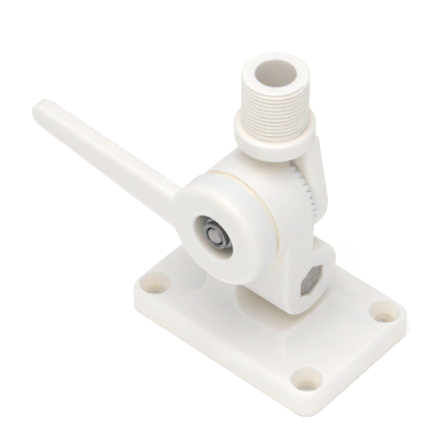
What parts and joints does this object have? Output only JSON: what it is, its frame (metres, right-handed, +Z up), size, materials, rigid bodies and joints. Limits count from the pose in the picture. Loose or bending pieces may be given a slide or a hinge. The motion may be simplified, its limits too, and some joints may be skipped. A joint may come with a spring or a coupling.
{
  "type": "ratchet swivel bracket",
  "caption": "Nylon deck bracket with toothed swivel joints, a cam lever that clamps the upper joint, and a threaded hollow stem",
  "frame": {"origin": "centre of the plate's underside", "axes": "+Z up out of the plate, +X along the plate's long side towards the head of the lower bolt, -Y towards the lever hub"},
  "size_m": [0.1424, 0.067, 0.1298],
  "materials": {
    "base_nylon": "satin moulded nylon",
    "body_nylon": "satin moulded nylon",
    "stem_nylon": "satin moulded nylon",
    "lever_nylon": "satin moulded nylon",
    "fastener_steel": "machined stainless steel",
    "spring_steel": "drawn stainless wire",
    "insert_nylon": "dark blue nylon"
  },
  "bodies": {
    "base": {"base": "base_nylon"},
    "swivel": {"swivel_body": "body_nylon", "release_spring": "spring_steel", "lower_bolt": "fastener_steel", "lower_washer": "fastener_steel", "lower_lock_nut": "fastener_steel", "lower_nut_insert": "insert_nylon"},
    "carriage": {"upper_washer": "fastener_steel"},
    "stem": {"stem": "stem_nylon", "upper_bolt": "fastener_steel", "upper_lock_nut": "fastener_steel", "upper_nut_insert": "insert_nylon"},
    "lever": {"lever": "lever_nylon"}
  },
  "joints": [
    {"name": "swivel_tilt", "type": "hinge", "parent": "base", "child": "swivel", "pos_m": [0, 0, 0.0354], "axis": [1, 0, 0], "range_deg": [-88, 40]},
    {"name": "clamp_release", "type": "slide", "parent": "swivel", "child": "carriage", "axis": [0, 1, 0], "range_m": [0, 0.003]},
    {"name": "stem_tilt", "type": "hinge", "parent": "carriage", "child": "stem", "pos_m": [0, 0, 0.0707], "axis": [0, 1, 0], "range_deg": [-88, 88]},
    {"name": "lever_turn", "type": "hinge", "parent": "carriage", "child": "lever", "pos_m": [0, 0, 0.0707], "axis": [0, 1, 0], "range_deg": [0, 120]}
  ],
  "couplings": [
    {"joint": "clamp_release", "follows": "lever_turn", "m_per_rad": 0.0014324}
  ]
}
